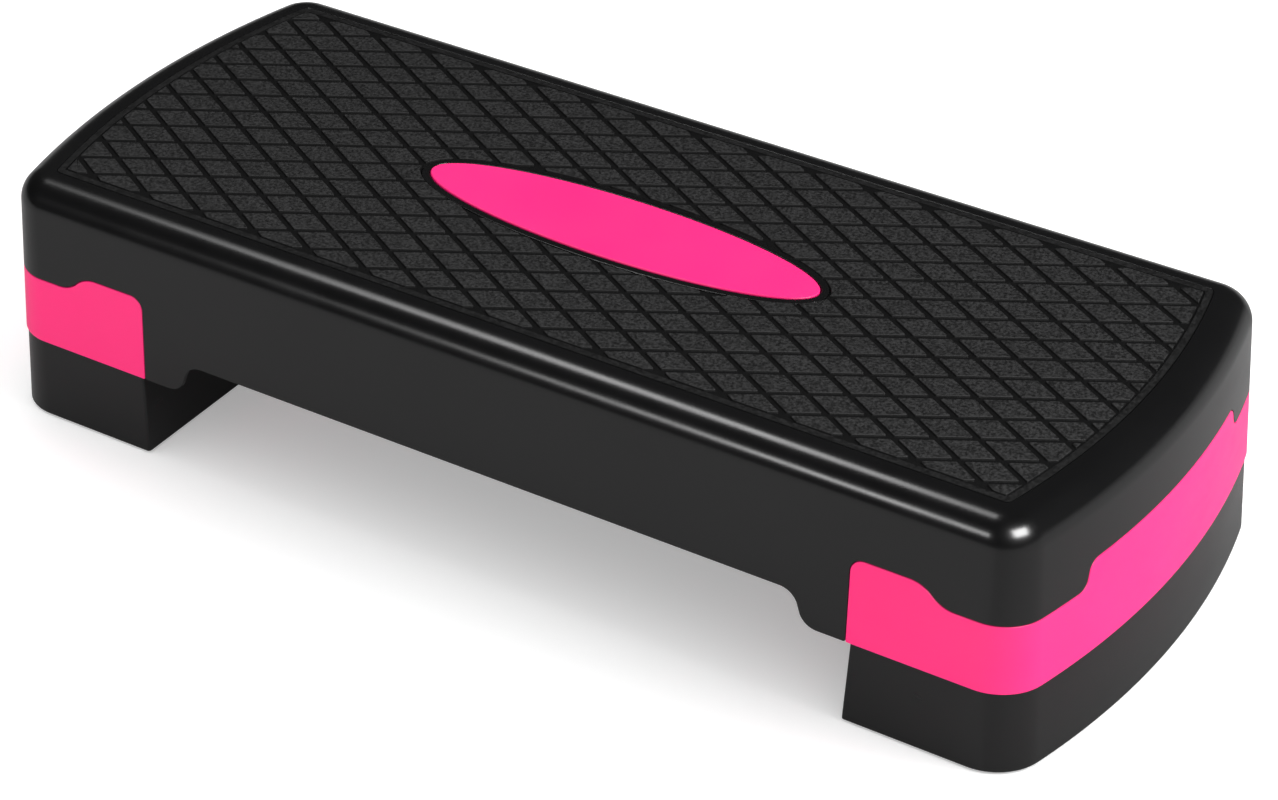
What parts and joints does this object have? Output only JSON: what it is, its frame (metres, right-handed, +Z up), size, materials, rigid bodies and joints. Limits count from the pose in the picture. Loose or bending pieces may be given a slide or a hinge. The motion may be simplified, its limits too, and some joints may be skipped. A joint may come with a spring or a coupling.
{
  "type": "aerobic step",
  "caption": "Low exercise step platform: long hollow deck with ribbed rubber tread and oval inlay, standing on stacking coloured and black risers that lift off to change its height.",
  "frame": {"origin": "on the floor, under the middle of the deck", "axes": "+X along the deck to its right end, +Y across it away from the viewer, +Z up"},
  "size_m": [0.686, 0.2866, 0.1495],
  "materials": {
    "deck_plastic": "semi-gloss black moulded polypropylene",
    "tread_rubber": "matte charcoal rubber with a diamond groove pattern",
    "inlay_plastic": "satin hot-pink moulded plastic",
    "upper_riser_plastic": "satin hot-pink moulded polypropylene",
    "lower_riser_plastic": "satin black moulded polypropylene",
    "pad_rubber": "matte black rubber"
  },
  "bodies": {
    "lower_left": {"lower_riser_left": "lower_riser_plastic", "lower_pad_left_1": "pad_rubber", "lower_pad_left_2": "pad_rubber", "lower_pad_left_3": "pad_rubber", "lower_pad_left_4": "pad_rubber"},
    "upper_left": {"upper_riser_left": "upper_riser_plastic", "upper_pad_left_1": "pad_rubber", "upper_pad_left_2": "pad_rubber", "upper_pad_left_3": "pad_rubber", "upper_pad_left_4": "pad_rubber"},
    "platform": {"deck_shell": "deck_plastic", "tread_mat": "tread_rubber", "centre_inlay": "inlay_plastic"},
    "upper_right": {"upper_riser_right": "upper_riser_plastic", "upper_pad_right_1": "pad_rubber", "upper_pad_right_2": "pad_rubber", "upper_pad_right_3": "pad_rubber", "upper_pad_right_4": "pad_rubber"},
    "lower_right": {"lower_riser_right": "lower_riser_plastic", "lower_pad_right_1": "pad_rubber", "lower_pad_right_2": "pad_rubber", "lower_pad_right_3": "pad_rubber", "lower_pad_right_4": "pad_rubber"}
  },
  "joints": [
    {"name": "upper_left_lift", "type": "slide", "parent": "lower_left", "child": "upper_left", "axis": [0, 0, 1], "range_m": [0, 0.04]},
    {"name": "platform_lift", "type": "slide", "parent": "upper_left", "child": "platform", "axis": [0, 0, 1], "range_m": [0, 0.08]},
    {"name": "upper_right_release", "type": "slide", "parent": "platform", "child": "upper_right", "axis": [0, 0, -1], "range_m": [0, 0.08]},
    {"name": "lower_right_release", "type": "slide", "parent": "upper_right", "child": "lower_right", "axis": [0, 0, -1], "range_m": [0, 0.04]}
  ],
  "couplings": [
    {"joint": "upper_right_release", "follows": "platform_lift", "ratio": 1},
    {"joint": "lower_right_release", "follows": "upper_left_lift", "ratio": 1}
  ]
}
